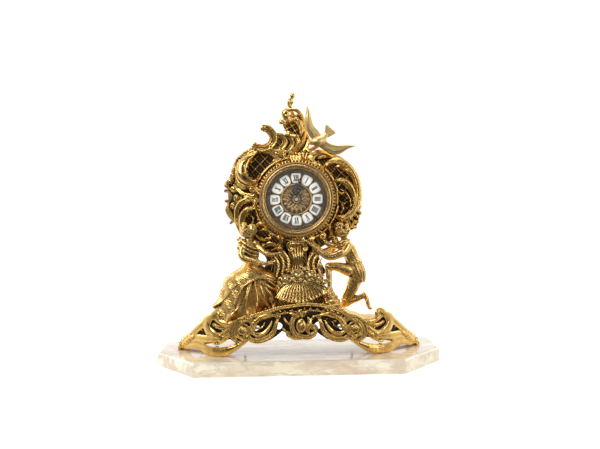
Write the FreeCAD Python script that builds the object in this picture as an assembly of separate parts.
"""Gilt rocaille mantel clock: a pierced casting with two kneeling figures on a marble slab.

Frame: millimetres, +Z up, the front faces -Y, and the origin is at the bottom centre of the slab's pads.
The dial's axis lies along Y. Every piece that comes apart on a bench is written to its own STEP file.
"""
import FreeCAD
import Part
import math
import os

V = FreeCAD.Vector
X_AXIS, Y_AXIS, Z_AXIS = V(1, 0, 0), V(0, 1, 0), V(0, 0, 1)

# ------------------------------------------------------------------ driving dimensions
# marble slab
slab_width = 400.0
slab_depth = 180.0
slab_thick = 19.0
slab_front_width = 280.0
slab_corner_depth = 88.0
slab_back_clip = 5.0
slab_edge_round = 5.0
pad_thick = 1.0
pad_radius = 12.0
pad_inset = 30.0

# pierced base casting
base_side_margin = 30.0
base_front_margin = 24.0
base_face_margin = 32.0
base_back = 30.0
deck_half = 48.0
deck_rise = 64.0
saddle_half = 86.0
saddle_rise = 47.0
shoulder_half = 128.0
shoulder_rise = 43.0
toe_rise = 14.0
wall = 5.0
arch_half = 92.0
arch_rise = 20.0
side_arch_rise = 12.0
window_radius = 7.0
foot_boss_radius = 7.0
foot_boss_rise = 24.0

# bolts from below the slab
bolt_radius = 2.5
bolt_head_radius = 4.5
bolt_head_height = 4.0
bolt_grip = 14.0
washer_radius = 6.5
washer_thick = 1.0
counterbore_depth = 7.0
fit_gap = 0.05

# dial and drum
dial_rise = 149.0
drum_radius = 46.0
drum_wall = 1.2
drum_front = -41.0
drum_length = 50.0
dial_thick = 1.0
dial_hole_radius = 4.1
hour_degrees = 1.0
minute_degrees = 12.0
plaque_count = 12
plaque_inner = 22.0
plaque_outer = 35.8
plaque_width = 13.8
plaque_thick = 1.2
rosette_radius = 19.6
rosette_thick = 0.8
chapter_ring_radius = 21.8
chapter_ring_thick = 1.4
bezel_lip = 4.5
bezel_width = 9.0
bezel_depth = 12.0
crystal_seat = 3.0
dial_screw_radius = 0.8
dial_screw_head = 1.0
crystal_rise = 6.0
crystal_thick = 1.6
hinge_knuckle_radius = 2.2
hinge_pin_radius = 1.0
hinge_knuckle_length = 5.0
cover_thick = 1.0
cover_lip = 4.0

# figures
hand_drop = 2.55
knee_lift = 6.0

# movement
case_side_room = 4.0
wheel_room = 0.825
case_depth = 16.0
case_wall = 1.4
bush_radius = 4.0
bush_length = 6.0
bush_nut_radius = 5.5
bush_nut_thick = 1.6
pipe_radius = 2.5
pipe_bore = 1.56
arbor_radius = 1.5
pivot_radius = 0.8
pivot_gap = 0.05
gear_face = 1.2
layer_gap = 0.3
cannon_teeth = 12
motion_teeth = 36
motion_pinion_teeth = 10
hour_teeth = 40
setter_teeth = 12
train_distance = 12.0
battery_radius = 7.1
battery_length = 48.0
knob_radius = 7.0
knob_length = 7.0

# case casting and ornament
case_front = -30.0
case_back = -12.0
collar_width = 5.0
left_wing_reach = 97.0
right_wing_reach = 92.0
wing_thick = 8.0
pedestal_top_half = 20.0
pedestal_waist_half = 16.0
pedestal_foot_half = 27.0
flute_radius = 2.2
flute_count = 7
crest_front = -26.0
stud_radius = 2.0
nut_radius = 4.5
nut_height = 3.2

# ------------------------------------------------------------------ derived sizes
toe_half = slab_width / 2 - base_side_margin
front_half = slab_front_width / 2 - base_front_margin
base_front = slab_depth / 2 - base_face_margin
bezel_radius = drum_radius + bezel_lip
bezel_sight_radius = bezel_radius - bezel_width
crystal_radius = drum_radius - crystal_seat
slab_top = pad_thick + slab_thick
deck_top = slab_top + deck_rise
dial_z = deck_top + dial_rise
drum_back = drum_front + drum_length
dial_face = drum_front
collar_radius = drum_radius + fit_gap + collar_width
case_top = dial_z + collar_radius + 3.0
crest_foot = case_top
screw_radius = 1.5
screw_bore = screw_radius + fit_gap
crest_screw_x = (-16.0, 16.0)
crest_screw_z = case_top - 4.2
shell_screw_place = (0.0, deck_top + 26.0)
shell_x, shell_back = 4.0, case_front
lug_radius = drum_radius + 9.0
lug_angles = (150, 30, 270)
finial_x, finial_y = -4.0, (crest_front + case_back) / 2
finial_z = crest_foot + 69.0
bird_screw_place = (20.0, crest_foot + 8.0)
bird_x, bird_z = 36.0, crest_foot + 26.0
bezel_hinge_x = -bezel_radius - 1.0
bezel_hinge_y = drum_front - 1.6
cover_hinge_x = drum_radius + hinge_knuckle_radius
cover_hinge_y = drum_back - hinge_knuckle_radius
dial_screw_x = crystal_radius - dial_screw_head - 0.1
motion_tip_radius = train_distance * 2 * (motion_teeth / 2 + 0.75) / (cannon_teeth + motion_teeth)
case_size = battery_length + 2 * case_side_room
half_wide = case_size / 2
half_tall = motion_tip_radius + wheel_room + 2 * battery_radius + 2 * case_wall + 0.8
move_front = dial_face + dial_thick + 1.5
move_back = move_front + case_depth

PARTS = "parts"


# ------------------------------------------------------------------ helpers
def box(x0, x1, y0, y1, z0, z1):
    """Box between two corners."""
    return Part.makeBox(x1 - x0, y1 - y0, z1 - z0, V(x0, y0, z0))


def rod(x, z, y0, y1, radius):
    """Cylinder along Y."""
    return Part.makeCylinder(radius, y1 - y0, V(x, y0, z), Y_AXIS)


def post(x, y, z0, z1, radius):
    """Cylinder along Z."""
    return Part.makeCylinder(radius, z1 - z0, V(x, y, z0), Z_AXIS)


def ring(x, z, y0, y1, outer, inner):
    """Tube along Y."""
    return rod(x, z, y0, y1, outer).cut(rod(x, z, y0 - 1, y1 + 1, inner))


def front_plate(points, y0, y1, smooth=False):
    """Closed outline of (x, z) points, thickened along Y."""
    corners = [V(x, y0, z) for x, z in points]
    if smooth:
        curve = Part.BSplineCurve()
        curve.interpolate(corners, PeriodicFlag=True)
        wire = Part.Wire([curve.toShape()])
    else:
        wire = Part.makePolygon(corners + [corners[0]])
    return Part.Face(wire).extrude(V(0, y1 - y0, 0))


def plan_plate(points, z0, z1):
    """Closed outline of (x, y) points, thickened along Z."""
    corners = [V(x, y, z0) for x, y in points]
    wire = Part.makePolygon(corners + [corners[0]])
    return Part.Face(wire).extrude(V(0, 0, z1 - z0))


def mirrored(points):
    """Right-hand half outline, from the centre line outwards, made whole."""
    return points + [(-x, other) for x, other in reversed(points) if x != 0]


def hexagon(x, other, radius):
    """Corners of a nut about a point."""
    angles = [math.radians(60 * k) for k in range(6)]
    return [(x + radius * math.cos(a), other + radius * math.sin(a)) for a in angles]


def limb(start, end, r0, r1):
    """Tapered rod with rounded ends."""
    a, b = V(*start), V(*end)
    along = b - a
    if abs(r0 - r1) < 1e-6:
        middle = Part.makeCylinder(r0, along.Length, a, along)
    else:
        middle = Part.makeCone(r0, r1, along.Length, a, along)
    return middle.multiFuse([Part.makeSphere(r0, a), Part.makeSphere(r1, b)])


def chain(points):
    """Limbs through (x, y, z, radius) points, as one solid."""
    links = [limb(p[:3], q[:3], p[3], q[3]) for p, q in zip(points, points[1:])]
    return links[0] if len(links) == 1 else links[0].multiFuse(links[1:])


def egg(x, y, z, rx, ry, rz):
    """Ellipsoid."""
    ball = Part.makeSphere(1.0)
    matrix = FreeCAD.Matrix()
    matrix.scale(rx, ry, rz)
    return ball.transformGeometry(matrix).translated(V(x, y, z))


def about_y(shape, x, z, degrees):
    """Copy turned about a line along Y."""
    turned = shape.copy()
    turned.rotate(V(x, 0, z), Y_AXIS, degrees)
    return turned


def gear(x, z, y0, teeth, module, bore, tooth_at):
    """Spur gear along Y with straight-sided teeth; tooth_at is the angle of one tooth, from +X towards +Z."""
    pitch_r = module * teeth / 2
    tip_r, root_r = pitch_r + 0.75 * module, pitch_r - 1.1 * module
    step = 2 * math.pi / teeth
    corners = []
    for k in range(teeth):
        middle = math.radians(tooth_at) + k * step
        for radius, share in ((root_r, -0.30), (tip_r, -0.10), (tip_r, 0.10), (root_r, 0.30)):
            a = middle + share * step
            corners.append((x + radius * math.cos(a), z + radius * math.sin(a)))
    blank = front_plate(corners, y0, y0 + gear_face)
    return blank.cut(rod(x, z, y0 - 1, y0 + gear_face + 1, bore)) if bore else blank


def solid_of(shape):
    """The one solid of a finished shape."""
    clean = shape.removeSplitter()
    if len(clean.Solids) != 1:
        raise ValueError("expected one solid, found %d" % len(clean.Solids))
    return clean.Solids[0]


def group(shapes):
    """Separate identical pieces that share one node."""
    return Part.makeCompound([s for shape in shapes for s in shape.Solids])


# ------------------------------------------------------------------ slab
foot_places = [(s * (front_half - 4), -base_front + 16) for s in (-1, 1)]
foot_places += [(s * (toe_half - 9), base_back - 11) for s in (-1, 1)]


def slab_outline():
    half, front = slab_width / 2, slab_front_width / 2
    back, clip = slab_depth / 2, slab_back_clip
    right = [(0, -back), (front, -back), (half, slab_corner_depth - back)]
    right += [(half, back - clip), (half - clip, back)]
    return mirrored(right)


def marble_slab():
    slab = plan_plate(slab_outline(), pad_thick, slab_top)
    top_edges = [e for e in slab.Edges if abs(e.BoundBox.ZMin - slab_top) < 1e-6]
    slab = slab.makeFillet(slab_edge_round, top_edges)
    for x, y in foot_places:
        slab = slab.cut(post(x, y, 0, slab_top + 1, bolt_radius + 0.4))
        slab = slab.cut(post(x, y, 0, pad_thick + counterbore_depth, washer_radius + 0.5))
    return solid_of(slab)


def rubber_pads():
    x, y = slab_width / 2 - pad_inset, slab_depth / 2 - pad_inset
    front_x = slab_front_width / 2 - pad_inset
    places = [(-x, y), (x, y), (-front_x, -y), (front_x, -y)]
    return group([post(px, py, 0, pad_thick, pad_radius) for px, py in places])


def base_washers():
    seat = pad_thick + counterbore_depth
    discs = []
    for x, y in foot_places:
        disc = post(x, y, seat - washer_thick, seat, washer_radius)
        discs.append(disc.cut(post(x, y, 0, seat + 1, bolt_radius + 0.2)))
    return group(discs)


def base_bolts():
    seat = pad_thick + counterbore_depth - washer_thick
    bolts = []
    for x, y in foot_places:
        head = post(x, y, seat - bolt_head_height, seat, bolt_head_radius)
        under = seat - bolt_head_height
        slot = box(x - 0.6, x + 0.6, y - 6, y + 6, under - 1, under + 1.2)
        shank = post(x, y, seat, slab_top + bolt_grip, bolt_radius)
        bolts.append(head.cut(slot).fuse(shank).removeSplitter())
    return group(bolts)


# ------------------------------------------------------------------ base casting
def deck_profile(drop, trim):
    """Front view of the deck's upper surface, lowered by drop and drawn in by trim at the toes."""
    z = slab_top - drop
    right = [(0, z + deck_rise), (deck_half, z + deck_rise), (saddle_half, z + saddle_rise),
             (shoulder_half, z + shoulder_rise), (toe_half - trim, z + toe_rise),
             (toe_half - trim, slab_top - trim)]
    return mirrored(right)


def base_plan(trim, back):
    right = [(0, -base_front + trim), (front_half - 22, -base_front + trim + 3),
             (front_half - trim * 0.6, -base_front + trim + 12), (toe_half - trim, base_back - 24),
             (toe_half - trim, back)]
    return mirrored(right)


def deck_envelope():
    """Everything under the deck's upper surface, for seating what stands on it."""
    return front_plate(deck_profile(0, 0), -base_front - 40, base_back + 40)


def base_casting():
    outer = front_plate(deck_profile(0, 0), -base_front - 1, base_back)
    outer = outer.common(plan_plate(base_plan(0, base_back), slab_top, deck_top + 1))
    inner = front_plate(deck_profile(wall, wall), -base_front - 1, base_back + 1)
    inner = inner.common(plan_plate(base_plan(wall, base_back + 1), slab_top - 1, deck_top + 1))
    shell = outer.cut(inner)
    arch = box(-arch_half, arch_half, -base_front - 2, -base_front + 20, slab_top - 1, slab_top + arch_rise)
    shell = shell.cut(arch)
    for s in (-1, 1):
        side = box(-30, 30, -26, 8, slab_top - 1, slab_top + side_arch_rise)
        middle_x = s * (front_half + toe_half) / 2
        shell = shell.cut(side.translated(V(middle_x, 2, 0)))
        for x, z, r in ((32, 26, 0.8), (63, 26, 1.0), (62, 40, 0.5), (20, 46, 0.5), (105, 22, 0.9)):
            hole = rod(s * x, slab_top + z + 6, -base_front - 2, -base_front + 20, window_radius * r)
            shell = shell.cut(hole)
    for x, y in foot_places:
        boss = post(x, y, slab_top, slab_top + foot_boss_rise, foot_boss_radius).common(
            front_plate(deck_profile(wall / 2, 0), -base_front - 1, base_back + 1))
        shell = shell.fuse(boss)
    for x, y in foot_places:
        shell = shell.cut(post(x, y, slab_top - 1, slab_top + bolt_grip + 1, bolt_radius + fit_gap))
    for x, y in stud_places:
        shell = shell.cut(post(x, y, slab_top, deck_top + 1, stud_radius + 0.3))
    return solid_of(shell)


# studs that come down through the deck: two on the pedestal, two on the lady, two on the gentleman
pedestal_studs = [(-12.0, -20.0), (12.0, -20.0)]
lady_studs = [(-100.0, -18.0), (-76.0, -22.0)]
gentleman_studs = [(42.0, 24.0 - base_front), (66.0, -20.0)]
stud_places = pedestal_studs + lady_studs + gentleman_studs


def deck_height(x):
    """Upper surface of the deck above the origin at a distance from the middle."""
    line = [(0, deck_rise), (deck_half, deck_rise), (saddle_half, saddle_rise),
            (shoulder_half, shoulder_rise), (toe_half, toe_rise)]
    for (x0, z0), (x1, z1) in zip(line, line[1:]):
        if abs(x) <= x1:
            return slab_top + z0 + (z1 - z0) * (abs(x) - x0) / (x1 - x0)
    return slab_top


def stud_seat(x):
    """Lowest point of the deck's underside within a nut's reach of x."""
    return min(deck_height(abs(x) + nut_radius), deck_height(max(0, abs(x) - nut_radius))) - wall - 1.2


def with_studs(shape, places):
    """A casting with its threaded studs, which reach down through the deck."""
    for x, y in places:
        shape = shape.fuse(post(x, y, stud_seat(x) - nut_height - 1.5, deck_height(x) + 5, stud_radius))
    return shape


def deck_nuts():
    nuts = []
    for x, y in stud_places:
        seat = stud_seat(x)
        nut = plan_plate(hexagon(x, y, nut_radius), seat - nut_height, seat)
        nuts.append(nut.cut(post(x, y, seat - 9, seat + 9, stud_radius + fit_gap)))
    return group(nuts)


# ------------------------------------------------------------------ case casting
def on_circle(radius, degrees):
    """Point (x, z) on a circle about the dial's axis."""
    return radius * math.cos(math.radians(degrees)), dial_z + radius * math.sin(math.radians(degrees))


def around_dial(degrees, share, reach):
    """Point (x, z) at an angle about the dial, a share of the way from the collar to the wing's reach."""
    return on_circle(collar_radius + share * (reach - collar_radius), degrees)


left_wing = ((110, 0.0), (122, 0.75), (135, 1.0), (150, 1.04), (165, 0.98), (182, 1.0), (199, 1.0),
             (214, 0.72), (232, 0.35), (258, 0.1))
right_wing = ((70, 0.0), (57, 0.5), (39, 0.82), (25, 0.95), (8, 1.0), (-12, 1.0), (-26, 1.0), (-42, 0.7),
              (-62, 0.3), (-80, 0.1))
leaf_rings = ((153, 0.35, left_wing_reach, 26, 8), (7, -0.1, right_wing_reach, 34, 9))
lattice_pockets = ((153, 0.45, left_wing_reach, 12), (0, 0.4, right_wing_reach, 9),
                   (28, 0.45, right_wing_reach, 8))


def case_casting():
    plate_front = case_back - wing_thick
    pieces = []
    for wing, reach in ((left_wing, left_wing_reach), (right_wing, right_wing_reach)):
        outline = [around_dial(degrees, share, reach) for degrees, share in wing]
        pieces.append(front_plate(outline, plate_front, case_back, True))
    proud = box(-slab_width, slab_width, case_front - 20, case_back - 4, 0, 2 * dial_z)
    for degrees, share, reach, ring_radius, roll_radius in leaf_rings:
        x, z = around_dial(degrees, share, reach)
        leaf = Part.makeTorus(ring_radius, roll_radius, V(x, plate_front, z), Y_AXIS)
        pieces.append(leaf.common(proud))
    pieces.append(rod(0, dial_z, case_front - 6, case_back, collar_radius))
    pieces.append(front_plate([(-24, dial_z + 40), (24, dial_z + 40), (24, case_top), (-24, case_top)],
                              case_front, case_back))
    join = dial_z - drum_radius - 3
    right = [(0, deck_top), (pedestal_foot_half, deck_top), (pedestal_waist_half, deck_top + 42),
             (pedestal_top_half, join - 8), (pedestal_top_half + 10, join + 4), (0, join + 4)]
    pedestal = front_plate(mirrored(right), case_front, case_back)
    for k in range(flute_count):
        x = (k - (flute_count - 1) / 2) * 2 * pedestal_waist_half / flute_count
        pedestal = pedestal.cut(post(x, case_front, deck_top + 8, join - 12, flute_radius))
    pieces.append(pedestal)
    casting = pieces[0].multiFuse(pieces[1:])
    casting = casting.cut(rod(0, dial_z, case_front - 40, case_back + 40, drum_radius + fit_gap))
    for degrees, share, reach, pocket_radius in lattice_pockets:
        x, z = around_dial(degrees, share, reach)
        casting = casting.cut(rod(x, z, case_front - 30, plate_front + 3, pocket_radius))
    casting = with_studs(casting, pedestal_studs)
    for x in crest_screw_x:
        casting = casting.cut(rod(x, crest_screw_z, case_front + 6, case_back + 1, screw_bore))
    for degrees in lug_angles:
        casting = casting.cut(rod(*on_circle(lug_radius, degrees), case_back - 6, case_back + 1, screw_bore))
    casting = casting.cut(rod(*shell_screw_place, case_front - 1, case_back + 1, screw_bore))
    return solid_of(casting)


# ------------------------------------------------------------------ crest, finial and bird
def crest_outline():
    """Front view of the crest, above its foot."""
    return [(-22, 0), (22, 0), (26, 10), (18, 26), (15, 46), (11, 60), (2, 70), (-10, 66), (-18, 56),
            (-14, 44), (-17, 32), (-26, 26), (-36, 38), (-46, 42), (-42, 30), (-52, 22), (-54, 12), (-36, 6)]


def crest_casting():
    crest = front_plate([(x, crest_foot + z) for x, z in crest_outline()], crest_front, case_back)
    crest = crest.fuse(rod(-18, crest_foot + 48, crest_front, case_back, 5))
    tab = box(-22, 22, case_back, case_back + 4, crest_screw_z - 3, crest_foot + 8)
    crest = crest.fuse(tab)
    for x in crest_screw_x:
        crest = crest.cut(rod(x, crest_screw_z, case_back - 1, case_back + 5, screw_radius + 0.2))
    crest = crest.cut(rod(-2, crest_foot + 48, crest_front - 1, crest_front + 5, 5))
    crest = crest.cut(post(finial_x, finial_y, finial_z - 9, finial_z + 12, screw_bore))
    crest = crest.cut(rod(*bird_screw_place, crest_front - 1, case_back + 5, screw_bore))
    return solid_of(crest)


def small_screw(x, z, seat, reach):
    """Cheese-head M3 screw from behind: the head stands on the plane y = seat and the shank runs forwards."""
    head = rod(x, z, seat, seat + 2.2, 3.0).cut(box(x - 4, x + 4, seat + 1.3, seat + 3, z - 0.4, z + 0.4))
    return head.fuse(rod(x, z, seat - reach, seat, screw_radius)).removeSplitter()


def crest_screws():
    return group([small_screw(x, crest_screw_z, case_back + 4, 12) for x in crest_screw_x])


def finial():
    z = finial_z
    tip = chain([(finial_x, finial_y, z + 2.0, 3.0), (finial_x - 2, finial_y, z + 8, 2.2),
                 (finial_x - 1, finial_y, z + 14, 2.4), (finial_x + 2, finial_y, z + 19, 2.2),
                 (finial_x + 1.5, finial_y, z + 23, 2.0)])
    tip = tip.cut(box(-60, 60, -60, 60, z - 20, z + 1.5))
    stem = post(finial_x, finial_y, z - 8, z + 3, screw_radius)
    return solid_of(tip.fuse(stem).cut(box(-60, 60, -60, 60, z - 40, z - 8)))


def bird():
    y = crest_front - 6
    body = chain([(bird_x - 13, y, bird_z - 15, 3.6), (bird_x - 3, y, bird_z - 5, 6.0),
                  (bird_x + 8, y, bird_z + 8, 3.2)])
    tail = front_plate([(bird_x + 6, bird_z + 8), (bird_x + 9, bird_z + 5), (bird_x + 24, bird_z + 16),
                        (bird_x + 16, bird_z + 23)], y - 1.5, y + 1.5)
    upper = front_plate([(bird_x - 8, bird_z - 6), (bird_x + 3, bird_z + 2), (bird_x - 9, bird_z + 26),
                         (bird_x - 16, bird_z + 44), (bird_x - 20, bird_z + 20)], y - 1.2, y + 1.2)
    lower = front_plate([(bird_x - 2, bird_z - 12), (bird_x + 6, bird_z - 1), (bird_x + 24, bird_z - 8),
                         (bird_x + 47, bird_z - 6), (bird_x + 26, bird_z - 18)], y - 1.2, y + 1.2)
    x, z = bird_screw_place
    stem = rod(x, z, y, crest_front, 3.2)
    shape = body.multiFuse([tail, upper, lower, stem])
    return solid_of(shape.cut(rod(x, z, crest_front - 5, crest_front + 1, screw_bore)))


def bird_screw():
    return small_screw(bird_screw_place[0], bird_screw_place[1], case_back + 4, 22)


# ------------------------------------------------------------------ shell basket and roses
def shell_basket():
    z = deck_top + 8
    rim = [(shell_x + 33 * math.cos(math.radians(a)), z + 30 - 22 * math.sin(math.radians(a)))
           for a in range(0, 181, 20)]
    fan = front_plate([(shell_x + 12, z + 34), (shell_x + 34, z + 32)] + rim[1:-1] + [(shell_x - 34, z + 32),
                      (shell_x - 12, z + 34)], shell_back - 22, shell_back)
    fan = fan.cut(box(-100, 100, shell_back - 30, shell_back - 8, z + 24, z + 60))
    for k in range(7):
        a = math.radians(200 + 23.3 * k)
        tip = V(shell_x + 40 * math.cos(a), shell_back - 22, z + 34 + 40 * math.sin(a))
        root = V(shell_x, shell_back - 22, z + 28)
        fan = fan.cut(Part.makeCylinder(1.2, (tip - root).Length, root, tip - root))
    fan = fan.cut(rod(*shell_screw_place, shell_back - 8, shell_back + 1, screw_bore))
    return solid_of(fan)


def shell_screw():
    return small_screw(shell_screw_place[0], shell_screw_place[1], case_back, -case_front + case_back + 7)


def rose_spray():
    z = deck_top + 8 + 24
    blooms = [egg(shell_x + dx, shell_back - 14, z + dz, r, r * 0.8, r * 0.9)
              for dx, dz, r in ((-16, 4, 6.0), (-6, 7.5, 8.5), (6, 6, 7.0), (16, 4.5, 6.5), (26, 2.5, 5.0))]
    bed = box(shell_x - 20, shell_x + 28, shell_back - 20, shell_back - 8, z, z + 3)
    spray = bed.multiFuse(blooms)
    return solid_of(spray.cut(box(-100, 100, shell_back - 60, shell_back + 10, z - 30, z)).cut(
        box(-100, 100, shell_back - 8, shell_back + 20, z - 30, z + 60)))


# ------------------------------------------------------------------ figures
def lady_figure():
    """A lady kneeling on the left, turned towards the middle, with a wide draped gown."""
    sections = ((-75, -24, 0, 42, 28), (-72, -24, 20, 40, 27), (-68, -26, 44, 34, 23), (-64, -28, 64, 22, 16),
                (-64, -28, 76, 8, 8))
    wires = []
    base_z = deck_height(shoulder_half)
    for x, y, z, rx, ry in sections:
        ellipse = Part.Ellipse(V(x, y, base_z + z - 4), rx, ry)
        wires.append(Part.Wire([ellipse.toShape()]))
    gown = Part.makeLoft(wires, True, False)
    top = base_z + 76
    torso = chain([(-64, -28, top - 4, 9), (-66, -29, top + 16, 10), (-67, -30, top + 26, 9)])
    neck = chain([(-67, -30, top + 30, 4.5), (-67, -31, top + 42, 4)])
    head = egg(-67, -32, top + 53, 10, 11, 12)
    near_arm = chain([(-60, -38, top + 24, 5), (-73, -42, top + 10, 4.5), (-36, -46, top + 8, 3)])
    far_arm = chain([(-58, -26, top + 24, 5), (-44, -34, top + 12, 3.5), (-26, -40, top + 13, 2.6)])
    shape = gown.multiFuse([torso, neck, head, near_arm, far_arm])
    return with_studs(shape.cut(deck_envelope()), lady_studs)


def gentleman_figure():
    """A gentleman on one knee on the right, reaching towards the middle."""
    knee_z = deck_height(66) + knee_lift
    hand_z = dial_z - bezel_radius - hand_drop
    hip = (82, -20, knee_z + 52)
    torso = chain([hip + (12,), (74, -24, knee_z + 70, 12), (68, -28, knee_z + 86, 10)])
    neck = chain([(68, -28, knee_z + 92, 4.5), (66, -29, knee_z + 102, 4)])
    head = egg(62, -31, knee_z + 108, 10, 10.5, 12)
    reach = chain([(66, -38, knee_z + 86, 5.5), (42, -44, knee_z + 72, 4.5), (22, -46, hand_z - 12, 3.5),
                   (9, -46, hand_z, 2.6)])
    back_thigh = chain([(82, -18, knee_z + 46, 10), (66, -20, knee_z + 6, 7)])
    back_shin = chain([(66, -18, knee_z + 4, 6), (94, -12, knee_z + 14, 4.2), (99, -12, knee_z + 2, 3.4)])
    front_leg = chain([(74, -28, knee_z + 50, 9), (44, -32, knee_z + 60, 6), (43, -34, knee_z + 30, 4.2),
                       (43, -36, knee_z + 6, 3.8)])
    rock = chain([(30, -36, knee_z + 8, 9), (50, -36, knee_z + 8, 10)])
    shape = torso.multiFuse([neck, head, reach, back_thigh, back_shin, front_leg, rock])
    return with_studs(shape.cut(deck_envelope()), gentleman_studs)


# ------------------------------------------------------------------ drum, dial and bezel
def drum_case():
    tube = ring(0, dial_z, drum_front, drum_back, drum_radius, drum_radius - drum_wall)
    seat = ring(0, dial_z, drum_front + dial_thick, drum_front + dial_thick + 1.2, drum_radius - drum_wall,
                drum_radius - drum_wall - 4)
    drum = tube.fuse(seat)
    for x in (-dial_screw_x, dial_screw_x):
        drum = drum.cut(rod(x, dial_z, drum_front, drum_front + 5, dial_screw_radius + fit_gap))
    hinge_x = bezel_hinge_x
    half_knuckle = hinge_knuckle_length / 2 - 0.2
    low, high = dial_z - half_knuckle, dial_z + half_knuckle
    tongue = box(hinge_x, -drum_radius + 0.6, bezel_hinge_y + 0.4, bezel_hinge_y + 2.0, low, high)
    knuckle = post(hinge_x, bezel_hinge_y, low, high, hinge_knuckle_radius)
    drum = drum.multiFuse([tongue, knuckle])
    drum = drum.cut(post(hinge_x, bezel_hinge_y, dial_z - 20, dial_z + 20, hinge_pin_radius))
    lug = post(cover_hinge_x, cover_hinge_y, low, high, hinge_knuckle_radius)
    web = box(drum_radius - 0.6, cover_hinge_x, cover_hinge_y - 1, cover_hinge_y + 1, low, high)
    drum = drum.multiFuse([lug, web])
    drum = drum.cut(post(cover_hinge_x, cover_hinge_y, dial_z - 20, dial_z + 20, hinge_pin_radius))
    return solid_of(drum)


def drum_lugs():
    """Three straps behind the casting that grip the drum's side."""
    lugs = []
    for degrees in lug_angles:
        strap = box(drum_radius, lug_radius + 4, case_back, case_back + 1.5, dial_z - 4, dial_z + 4)
        upright = box(drum_radius, drum_radius + 1.5, case_back, case_back + 9, dial_z - 4, dial_z + 4)
        lug = strap.fuse(upright).cut(rod(0, dial_z, case_back - 1, case_back + 12, drum_radius))
        lug = lug.cut(rod(lug_radius, dial_z, case_back - 1, case_back + 3, 1.7))
        lugs.append(about_y(lug.removeSplitter(), 0, dial_z, -degrees))
    return group(lugs)


def drum_screws():
    return group([small_screw(*on_circle(lug_radius, degrees), case_back + 1.5, 6) for degrees in lug_angles])


def dial_plate():
    dial = rod(0, dial_z, dial_face, dial_face + dial_thick, drum_radius - drum_wall - 0.1)
    for x in (-dial_screw_x, dial_screw_x):
        dial = dial.cut(rod(x, dial_z, dial_face - 1, dial_face + 2, dial_screw_radius + fit_gap))
    return solid_of(dial.cut(rod(0, dial_z, dial_face - 1, dial_face + 2, dial_hole_radius)))


def dial_screws():
    """Two small screws that hold the dial to the drum's seat, under the bezel."""
    screws = []
    for x in (-dial_screw_x, dial_screw_x):
        head = rod(x, dial_z, dial_face - 0.8, dial_face, dial_screw_head)
        slot = box(x - 2, x + 2, dial_face - 1, dial_face - 0.45, dial_z - 0.2, dial_z + 0.2)
        shank = rod(x, dial_z, dial_face, dial_face + 2.8, dial_screw_radius)
        screws.append(head.cut(slot).fuse(shank).removeSplitter())
    return group(screws)


def numeral_plaques():
    """Twelve enamel cartouches, wider outside, with rounded corners."""
    w, inner, outer = plaque_width / 2, plaque_inner, plaque_outer
    right = [(0, inner), (w * 0.62, inner + 0.4), (w * 0.86, inner + 3), (w, outer - 4), (w * 0.8, outer - 0.8)]
    left = [(-x, r) for x, r in reversed(right[1:])]
    outline = left[-1:] + right + [(0, outer)] + left[:-1]
    one = front_plate([(x, dial_z + r) for x, r in outline], dial_face - plaque_thick, dial_face, True)
    return group([about_y(one, 0, dial_z, 360.0 * k / plaque_count) for k in range(plaque_count)])


def chapter_ring():
    return solid_of(ring(0, dial_z, dial_face - chapter_ring_thick, dial_face, chapter_ring_radius,
                         rosette_radius))


def dial_rosette():
    disc = rod(0, dial_z, dial_face - rosette_thick, dial_face, rosette_radius)
    return solid_of(disc.cut(rod(0, dial_z, dial_face - 2, dial_face + 1, bush_nut_radius + 0.2)))


def revolved(points):
    """(radius, y) profile turned about the dial's axis."""
    corners = [V(r, y, dial_z) for r, y in points]
    face = Part.Face(Part.makePolygon(corners + [corners[0]]))
    return face.revolve(V(0, 0, dial_z), Y_AXIS, 360)


def bezel_ring():
    back, front = drum_front - 0.2, drum_front - bezel_depth
    seat = crystal_radius + 0.1
    profile = [(bezel_sight_radius, front + 3.0), (bezel_sight_radius + 1.5, front + 1.0),
               (bezel_sight_radius + 4, front), (bezel_radius - 2.5, front + 2.0), (bezel_radius, front + 5.0),
               (bezel_radius, back), (seat, back), (seat, front + 4.4), (bezel_sight_radius, front + 4.4)]
    bezel = revolved(profile)
    hinge_x = bezel_hinge_x
    half = hinge_knuckle_length / 2
    for z0, z1 in ((half + 0.1, half + hinge_knuckle_length), (-half - hinge_knuckle_length, -half - 0.1)):
        knuckle = post(hinge_x, bezel_hinge_y, dial_z + z0, dial_z + z1, hinge_knuckle_radius)
        web = box(hinge_x, hinge_x + 4, bezel_hinge_y - 2, bezel_hinge_y - 0.4, dial_z + z0, dial_z + z1)
        bezel = bezel.multiFuse([knuckle, web])
    gap = post(hinge_x, bezel_hinge_y, dial_z - half, dial_z + half, hinge_knuckle_radius + 0.3)
    tongue_room = box(hinge_x, -drum_radius + 1.5, bezel_hinge_y - 0.2, bezel_hinge_y + 3, dial_z - half,
                      dial_z + half)
    bezel = bezel.cut(gap).cut(tongue_room)
    pin_hole = post(hinge_x, bezel_hinge_y, dial_z - 20, dial_z + 20, hinge_pin_radius + fit_gap)
    return solid_of(bezel.cut(pin_hole))


def bezel_hinge_pin():
    reach = hinge_knuckle_length * 1.5
    pin = post(bezel_hinge_x, bezel_hinge_y, dial_z - reach, dial_z + reach, hinge_pin_radius)
    return solid_of(pin)


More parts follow.
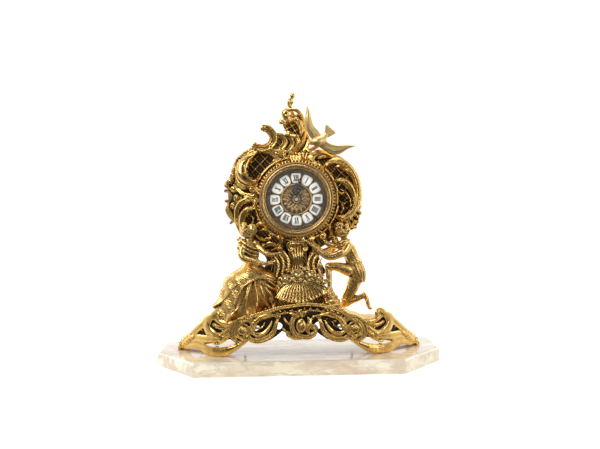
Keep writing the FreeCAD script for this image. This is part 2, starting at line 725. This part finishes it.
def crystal():
    """Domed glass."""
    edge = drum_front - bezel_depth + 4.4
    sag = crystal_rise
    ball_r = (crystal_radius ** 2 + sag ** 2) / (2 * sag)
    centre_y = edge + ball_r - sag
    dome = Part.makeSphere(ball_r, V(0, centre_y, dial_z)).cut(
        Part.makeSphere(ball_r - crystal_thick, V(0, centre_y, dial_z)))
    sight = rod(0, dial_z, edge - sag - 2, edge, bezel_sight_radius - 0.2)
    rim = ring(0, dial_z, edge, edge + crystal_thick, crystal_radius, bezel_sight_radius - 1.6)
    middle = dome.common(sight)
    return solid_of(middle.fuse(rim))


def crystal_clip():
    """Split wire ring that holds the glass in the bezel."""
    y = drum_front - bezel_depth + 4.4 + crystal_thick
    clip = ring(0, dial_z, y, y + 1.2, crystal_radius, crystal_radius - 1.6)
    return solid_of(clip.cut(box(-2, 2, y - 1, y + 3, dial_z - crystal_radius - 2, dial_z - 30)))


def back_cover():
    y = drum_back + 0.2
    cap = rod(0, dial_z, y, y + cover_thick, drum_radius)
    lip = ring(0, dial_z, y - cover_lip, y, drum_radius - drum_wall - 0.3, drum_radius - drum_wall - 1.3)
    hinge_relief = box(drum_radius - 12, drum_radius + 2, y - cover_lip - 1, y, dial_z - drum_radius,
                       dial_z + drum_radius)
    cover = cap.fuse(lip.cut(hinge_relief))
    for k in range(-2, 3):
        cover = cover.cut(box(-12, 12, y - 1, y + 3, dial_z + 18 + 3.2 * k, dial_z + 19.4 + 3.2 * k))
    x, hinge_y = cover_hinge_x, cover_hinge_y
    half = hinge_knuckle_length / 2
    for z0, z1 in ((half + 0.1, half + hinge_knuckle_length), (-half - hinge_knuckle_length, -half - 0.1)):
        knuckle = post(x, hinge_y, dial_z + z0, dial_z + z1, hinge_knuckle_radius)
        web = box(x - 4.2, x, drum_back + 0.2, drum_back + 0.2 + cover_thick, dial_z + z0, dial_z + z1)
        leaf = box(x - 0.4, x + hinge_knuckle_radius, hinge_y, y + cover_thick, dial_z + z0, dial_z + z1)
        cover = cover.multiFuse([knuckle, web, leaf])
    cover = cover.cut(post(x, hinge_y, dial_z - 20, dial_z + 20, hinge_pin_radius + fit_gap))
    return solid_of(cover.cut(rod(-drum_radius + 8, dial_z, y - 1, y + 3, 1.2)))


def back_hinge_pin():
    reach = hinge_knuckle_length * 1.5
    pin = post(cover_hinge_x, cover_hinge_y, dial_z - reach, dial_z + reach, hinge_pin_radius)
    return solid_of(pin)


def back_knob():
    y = drum_back + 0.2
    x = -drum_radius + 8
    knob = rod(x, dial_z, y + cover_thick, y + cover_thick + 5, 3)
    return solid_of(knob.fuse(rod(x, dial_z, y - 1, y + cover_thick, 1.2)))


# ------------------------------------------------------------------ hands
def hour_hand():
    y0, y1 = dial_face - 4.2, dial_face - 3.6
    outline = ((-1.2, 3), (1.2, 3), (4.2, 12), (1.4, 16), (0, 24), (-1.4, 16), (-4.2, 12))
    blade = front_plate([(x, dial_z + z) for x, z in outline], y0, y1)
    hub = rod(0, dial_z, y0, y1, 4.2)
    hand = blade.fuse(hub)
    for x in (-1.7, 1.7):
        hand = hand.cut(rod(x, dial_z + 11.5, y0 - 1, y1 + 1, 0.9))
    hand = hand.cut(rod(0, dial_z, y0 - 1, y1 + 1, pipe_radius))
    return about_y(solid_of(hand), 0, dial_z, hour_degrees)


def minute_hand():
    y0, y1 = dial_face - 6.2, dial_face - 5.6
    outline = ((-1.0, 3), (1.0, 3), (3.0, 15), (1.0, 20), (0.5, 34), (-0.5, 34), (-1.0, 20), (-3.0, 15))
    blade = front_plate([(x, dial_z + z) for x, z in outline], y0, y1)
    hand = blade.fuse(rod(0, dial_z, y0, y1, 3.6))
    hand = hand.cut(rod(0, dial_z + 14.5, y0 - 1, y1 + 1, 1.0))
    hand = hand.cut(rod(0, dial_z, y0 - 1, y1 + 1, arbor_radius))
    return about_y(solid_of(hand), 0, dial_z, minute_degrees)


def hand_nut():
    y1 = dial_face - 6.2
    nut = rod(0, dial_z, y1 - 2.0, y1, 2.4)
    return solid_of(nut.cut(rod(0, dial_z, y1 - 1.5, y1 + 1, arbor_radius)))


# ------------------------------------------------------------------ movement
bay_top = -half_tall + 2 * battery_radius + case_wall + 0.8
front_wall = move_front + case_wall
layer_hour = front_wall + layer_gap
layer_cannon = layer_hour + gear_face + layer_gap
layer_drive = layer_cannon + gear_face + layer_gap
layer_third = layer_drive + gear_face + layer_gap
layer_seconds = layer_third + gear_face + layer_gap
layer_step = layer_seconds + gear_face + layer_gap
layer_rotor = layer_step + gear_face + layer_gap
back_wall = move_back - case_wall

axis_motion = (train_distance, dial_z)
axis_setter = (train_distance, dial_z + train_distance)
drive_radius, third_radius, seconds_radius, step_radius = 10.0, 7.2, 5.4, 4.5
third_pinion = drive_radius / 7.5
seconds_pinion = third_radius / 8
step_pinion = seconds_radius / 6
rotor_pinion = step_radius / 5
rotor_radius = 3.0
mesh_gap = 0.1
axis_third = (-(drive_radius + third_pinion + mesh_gap), dial_z)
axis_seconds = (axis_third[0], axis_third[1] + third_radius + seconds_pinion + mesh_gap)
axis_step = (axis_seconds[0], axis_seconds[1] + seconds_radius + step_pinion + mesh_gap)
axis_rotor = (axis_step[0] + step_radius + rotor_pinion + mesh_gap, axis_step[1])
pivot_axes = [axis_motion, axis_third, axis_seconds, axis_step, axis_rotor]
coil_z = dial_z + half_tall - case_wall - 4.2


def module_of(a, b):
    return 2 * train_distance / (a + b)


def movement_front():
    """Moulded front of the movement, with its threaded nose and the open bay for the cell."""
    w, h = half_wide, half_tall
    case = box(-w, w, move_front, move_back - case_wall, dial_z - h, dial_z + h)
    room = box(-w + case_wall, w - case_wall, front_wall, move_back, dial_z + bay_top + case_wall,
               dial_z + h - case_wall)
    bay = box(-w + case_wall, w - case_wall, front_wall - 0.4, move_back + 1, dial_z - h + case_wall,
              dial_z + bay_top)
    case = case.cut(room).cut(bay)
    nose = rod(0, dial_z, move_front - bush_length, move_front, bush_radius)
    case = case.fuse(nose).cut(rod(0, dial_z, move_front - bush_length - 1, front_wall + 1,
                                   pipe_radius + fit_gap))
    for x, z in pivot_axes + [axis_setter]:
        case = case.cut(rod(x, z, front_wall - 0.8, front_wall + 1, pivot_radius + pivot_gap))
    return solid_of(case)


def movement_back():
    """Moulded back plate over the wheels, with a hole for the setting arbor."""
    plate = box(-half_wide, half_wide, back_wall, move_back, dial_z + bay_top, dial_z + half_tall)
    for x, z in pivot_axes + [(0, dial_z)]:
        plate = plate.cut(rod(x, z, back_wall - 1, back_wall + 0.8, pivot_radius + pivot_gap))
    plate = plate.cut(rod(axis_setter[0], axis_setter[1], back_wall - 1, move_back + 1,
                          arbor_radius + pivot_gap))
    return solid_of(plate)


def pivoted(x, z, front, back):
    """Thin arbor between the front wall and the back plate."""
    return rod(x, z, front, back, pivot_radius)


def minute_arbor():
    """Centre arbor with the cannon pinion; it carries the minute hand."""
    pinion = gear(0, dial_z, layer_cannon, cannon_teeth, module_of(cannon_teeth, motion_teeth), 0, 0)
    arbor = rod(0, dial_z, dial_face - 7.6, layer_drive + gear_face, arbor_radius)
    tail = rod(0, dial_z, layer_drive + gear_face, back_wall + 0.6, pivot_radius)
    return solid_of(pinion.multiFuse([arbor, tail]))


def hour_wheel():
    pitch = 360.0 / hour_teeth
    wheel = gear(0, dial_z, layer_hour, hour_teeth, module_of(motion_pinion_teeth, hour_teeth), 0, pitch / 2)
    pipe = rod(0, dial_z, dial_face - 4.8, layer_hour + gear_face, pipe_radius)
    return solid_of(wheel.fuse(pipe).cut(rod(0, dial_z, dial_face - 6, layer_hour + 5, pipe_bore)))


def motion_wheel():
    x, z = axis_motion
    pitch = 360.0 / motion_teeth
    wheel = gear(x, z, layer_cannon, motion_teeth, module_of(cannon_teeth, motion_teeth), 0, 180 + pitch / 2)
    pinion = gear(x, z, layer_hour, motion_pinion_teeth, module_of(motion_pinion_teeth, hour_teeth), 0, 180)
    link = rod(x, z, layer_hour, layer_cannon + gear_face, 1.6)
    return solid_of(wheel.multiFuse([pinion, link, pivoted(x, z, front_wall - 0.6, back_wall + 0.6)]))


def setting_arbor():
    x, z = axis_setter
    # the motion wheel has a gap or tooth straight up, and the pinion takes the other
    up = 90.0
    pitch = 360.0 / motion_teeth
    offset = (up - (180 + pitch / 2)) / pitch
    tooth_up = abs(offset - round(offset)) < 0.25
    own = 270.0 + (360.0 / setter_teeth / 2 if tooth_up else 0.0)
    pinion = gear(x, z, layer_cannon, setter_teeth, module_of(setter_teeth, motion_teeth), 0, own)
    arbor = rod(x, z, layer_cannon, move_back + 3, arbor_radius)
    return solid_of(pinion.multiFuse([arbor, rod(x, z, front_wall - 0.6, layer_cannon, pivot_radius)]))


def setting_knob():
    x, z = axis_setter
    knob = rod(x, z, move_back + 1, move_back + 1 + knob_length, knob_radius)
    for k in range(16):
        a = 2 * math.pi * k / 16
        groove_x, groove_z = x + knob_radius * math.cos(a), z + knob_radius * math.sin(a)
        knob = knob.cut(rod(groove_x, groove_z, move_back, move_back + knob_length + 2, 0.7))
    return solid_of(knob.cut(rod(x, z, move_back, move_back + 3, arbor_radius)))


def train_wheel(axis, layer, radius, pinion_layer, pinion):
    """Wheel and pinion of the stepping train, at their pitch radii, on a thin arbor."""
    x, z = axis
    disc = rod(x, z, layer, layer + gear_face, radius)
    leaf = rod(x, z, min(layer, pinion_layer), max(layer, pinion_layer) + gear_face, pinion)
    return solid_of(disc.multiFuse([leaf, pivoted(x, z, front_wall - 0.6, back_wall + 0.6)]))


def centre_wheel():
    """Driven wheel that slips on the centre arbor when the hands are set."""
    return solid_of(ring(0, dial_z, layer_drive, layer_drive + gear_face, drive_radius,
                         arbor_radius + pivot_gap))


def third_wheel():
    return train_wheel(axis_third, layer_third, third_radius, layer_drive, third_pinion)


def seconds_wheel():
    return train_wheel(axis_seconds, layer_seconds, seconds_radius, layer_third, seconds_pinion)


def step_wheel():
    return train_wheel(axis_step, layer_step, step_radius, layer_seconds, step_pinion)


def rotor():
    x, z = axis_rotor
    magnet = rod(x, z, layer_rotor, layer_rotor + 1.6, rotor_radius)
    pinion = rod(x, z, layer_step, layer_rotor, rotor_pinion)
    return solid_of(magnet.multiFuse([pinion, pivoted(x, z, front_wall - 0.6, back_wall + 0.6)]))


def stator():
    x, z = axis_rotor
    plate = box(x - 8, x + 22, layer_rotor, layer_rotor + 1.0, z - 7, coil_z + 2.5)
    plate = plate.cut(box(x - 3, x + 17, layer_rotor - 1, layer_rotor + 3, z + 5, coil_z + 4))
    for (hole_x, hole_z), radius in ((axis_rotor, rotor_radius), (axis_step, pivot_radius),
                                     (axis_seconds, pivot_radius), (axis_setter, arbor_radius)):
        plate = plate.cut(rod(hole_x, hole_z, layer_rotor - 1, layer_rotor + 3, radius + 0.4))
    return solid_of(plate)


def coil():
    x = axis_rotor[0]
    y = layer_rotor - 3.2
    winding = Part.makeCylinder(2.6, 18, V(x - 2, y, coil_z), X_AXIS)
    flanges = [Part.makeCylinder(3.2, 1, V(end, y, coil_z), X_AXIS) for end in (x - 3, x + 16)]
    return solid_of(winding.multiFuse(flanges))


def circuit_board():
    return box(half_wide - case_wall - 9, half_wide - case_wall - 0.2, front_wall + 4, front_wall + 5,
               dial_z - 8, dial_z + 20)


def battery():
    z, y = battery_axis
    body = Part.makeCylinder(battery_radius, battery_length - 1.5, V(-battery_length / 2, y, z), X_AXIS)
    button = Part.makeCylinder(2.7, 1.5, V(battery_length / 2 - 1.5, y, z), X_AXIS)
    return solid_of(body.fuse(button))


battery_axis = (dial_z - half_tall + case_wall + 0.2 + battery_radius, front_wall - 0.2 + battery_radius)


def contact_plus():
    z, y = battery_axis
    inner = half_wide - case_wall
    return solid_of(box(inner - 0.5, inner, y - 5, y + 5, z - 5, z + 5))


def contact_minus():
    z, y = battery_axis
    inner = half_wide - case_wall
    blade = box(-inner, -inner + 0.5, y - 5, y + 5, z - 5, z + 5)
    dimple = Part.makeCone(3.5, 1.5, inner - 0.5 - battery_length / 2 - 0.1, V(-inner + 0.5, y, z), X_AXIS)
    return solid_of(blade.fuse(dimple))


def rubber_washer():
    washer = ring(0, dial_z, dial_face + dial_thick, move_front, 8.0, bush_radius + fit_gap)
    return solid_of(washer)


def bush_nut():
    y1 = dial_face
    nut = front_plate(hexagon(0, dial_z, bush_nut_radius), y1 - bush_nut_thick, y1)
    return solid_of(nut.cut(rod(0, dial_z, y1 - 4, y1 + 1, bush_radius + fit_gap)))


# ------------------------------------------------------------------ build
def clear_of(shape, *others):
    """A casting fitted against its neighbours, which keep their own shape."""
    for other in others:
        shape = shape.cut(other)
    return shape


def largest(shape):
    """The main solid, once a fitting cut has taken slivers off."""
    return max(shape.removeSplitter().Solids, key=lambda s: s.Volume)


def build():
    made = {}
    simple = [marble_slab, rubber_pads, base_washers, base_bolts, base_casting, deck_nuts, case_casting,
              crest_casting, crest_screws, finial, bird_screw, shell_basket, shell_screw, drum_case,
              drum_lugs, drum_screws, dial_plate, dial_screws, numeral_plaques, chapter_ring, dial_rosette,
              bezel_ring,
              bezel_hinge_pin, crystal, crystal_clip, back_cover, back_hinge_pin, back_knob, hour_hand,
              minute_hand, hand_nut, movement_front, movement_back, minute_arbor, hour_wheel, motion_wheel,
              setting_arbor, setting_knob, centre_wheel, third_wheel, seconds_wheel, step_wheel, rotor,
              stator, coil, circuit_board, battery, contact_plus, contact_minus, rubber_washer, bush_nut]
    for maker in simple:
        made[maker.__name__] = maker()
    made["crest_casting"] = largest(clear_of(made["crest_casting"], made["case_casting"]))
    made["rose_spray"] = largest(clear_of(rose_spray(), made["shell_basket"], made["case_casting"]))
    made["bird"] = largest(clear_of(bird(), made["crest_casting"], made["case_casting"]))
    neighbours = [made[n] for n in ("case_casting", "shell_basket", "rose_spray", "drum_case")]
    made["lady_figure"] = largest(clear_of(lady_figure(), *neighbours))
    made["gentleman_figure"] = largest(clear_of(gentleman_figure(), *neighbours))
    return made


def write(made):
    os.makedirs(PARTS, exist_ok=True)
    for name, shape in made.items():
        if not shape.isValid():
            raise ValueError(name + " is not a valid solid")
        shape.exportStep(os.path.join(PARTS, name + ".step"))
        print("%-18s solids %2d  volume %10.1f" % (name, len(shape.Solids), shape.Volume))


write(build())
